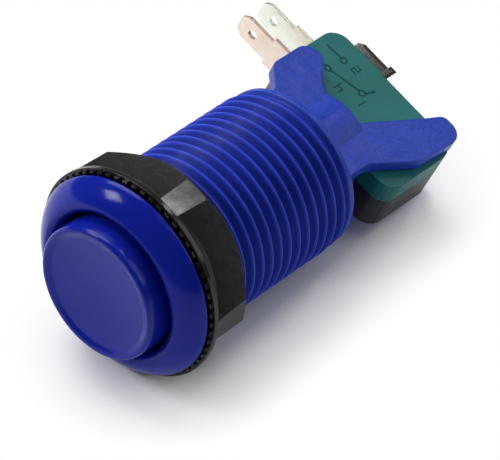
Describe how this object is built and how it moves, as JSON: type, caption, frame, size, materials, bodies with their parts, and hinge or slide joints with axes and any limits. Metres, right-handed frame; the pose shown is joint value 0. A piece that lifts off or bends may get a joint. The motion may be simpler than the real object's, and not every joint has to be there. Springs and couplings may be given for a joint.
{
  "type": "arcade push button",
  "caption": "Round panel-mount push button with a concave plunger, a threaded barrel, a ring nut and a snap-action switch held between the barrel's rear wings.",
  "frame": {"origin": "centre of the bezel's seat on the panel", "axes": "+Z along the plunger toward the player, +X along the switch away from its side tabs, +Y out of the switch's cover face"},
  "size_m": [0.0422, 0.035, 0.0712],
  "materials": {
    "blue_plastic": "satin moulded plastic",
    "plunger_plastic": "polished moulded plastic",
    "spring_steel": "bright wire",
    "nut_plastic": "satin moulded plastic",
    "black_plastic": "satin moulded plastic",
    "green_plastic": "satin moulded plastic",
    "actuator_plastic": "satin moulded plastic",
    "tarnished_brass": "tarnished",
    "warm_plated_brass": "dull plating",
    "plated_brass": "dull tin plating",
    "contact_metal": "bright",
    "arm_brass": "bright"
  },
  "bodies": {
    "button": {"housing": "blue_plastic", "return_spring": "spring_steel", "switch_base": "black_plastic", "switch_cover": "green_plastic", "common_terminal": "tarnished_brass", "normally_closed_terminal": "warm_plated_brass", "normally_open_terminal": "plated_brass", "normally_closed_contact": "contact_metal", "normally_open_contact": "contact_metal", "snap_spring": "spring_steel"},
    "plunger": {"plunger": "plunger_plastic"},
    "nut": {"mounting_nut": "nut_plastic"},
    "actuator": {"switch_actuator": "actuator_plastic"},
    "arm": {"contact_arm": "arm_brass", "moving_contact": "contact_metal"}
  },
  "joints": [
    {"name": "plunger_slide", "type": "slide", "parent": "button", "child": "plunger", "axis": [0, 0, -1], "range_m": [0, 0.003], "stiffness_N_per_m": 150, "springref_m": -0.004, "deforming": ["return_spring"]},
    {"name": "actuator_slide", "type": "slide", "parent": "button", "child": "actuator", "axis": [0, 0, -1], "range_m": [0, 0.0022], "stiffness_N_per_m": 60, "springref_m": -0.003, "deforming": ["snap_spring"]},
    {"name": "arm_swing", "type": "hinge", "parent": "button", "child": "arm", "pos_m": [0.0065, 0, -0.05405], "axis": [0, -1, 0], "range_deg": [0, 2.65], "stiffness_Nm_per_rad": 0.002, "springref_deg": -2.86},
    {"name": "nut_slide", "type": "slide", "parent": "button", "child": "nut", "axis": [0, 0, -1], "range_m": [-0.0003, 0.0265]}
  ],
  "couplings": [
    {"joint": "actuator_slide", "follows": "plunger_slide", "ratio": 0.7333},
    {"joint": "arm_swing", "follows": "plunger_slide", "rad_per_m": 15.4}
  ]
}
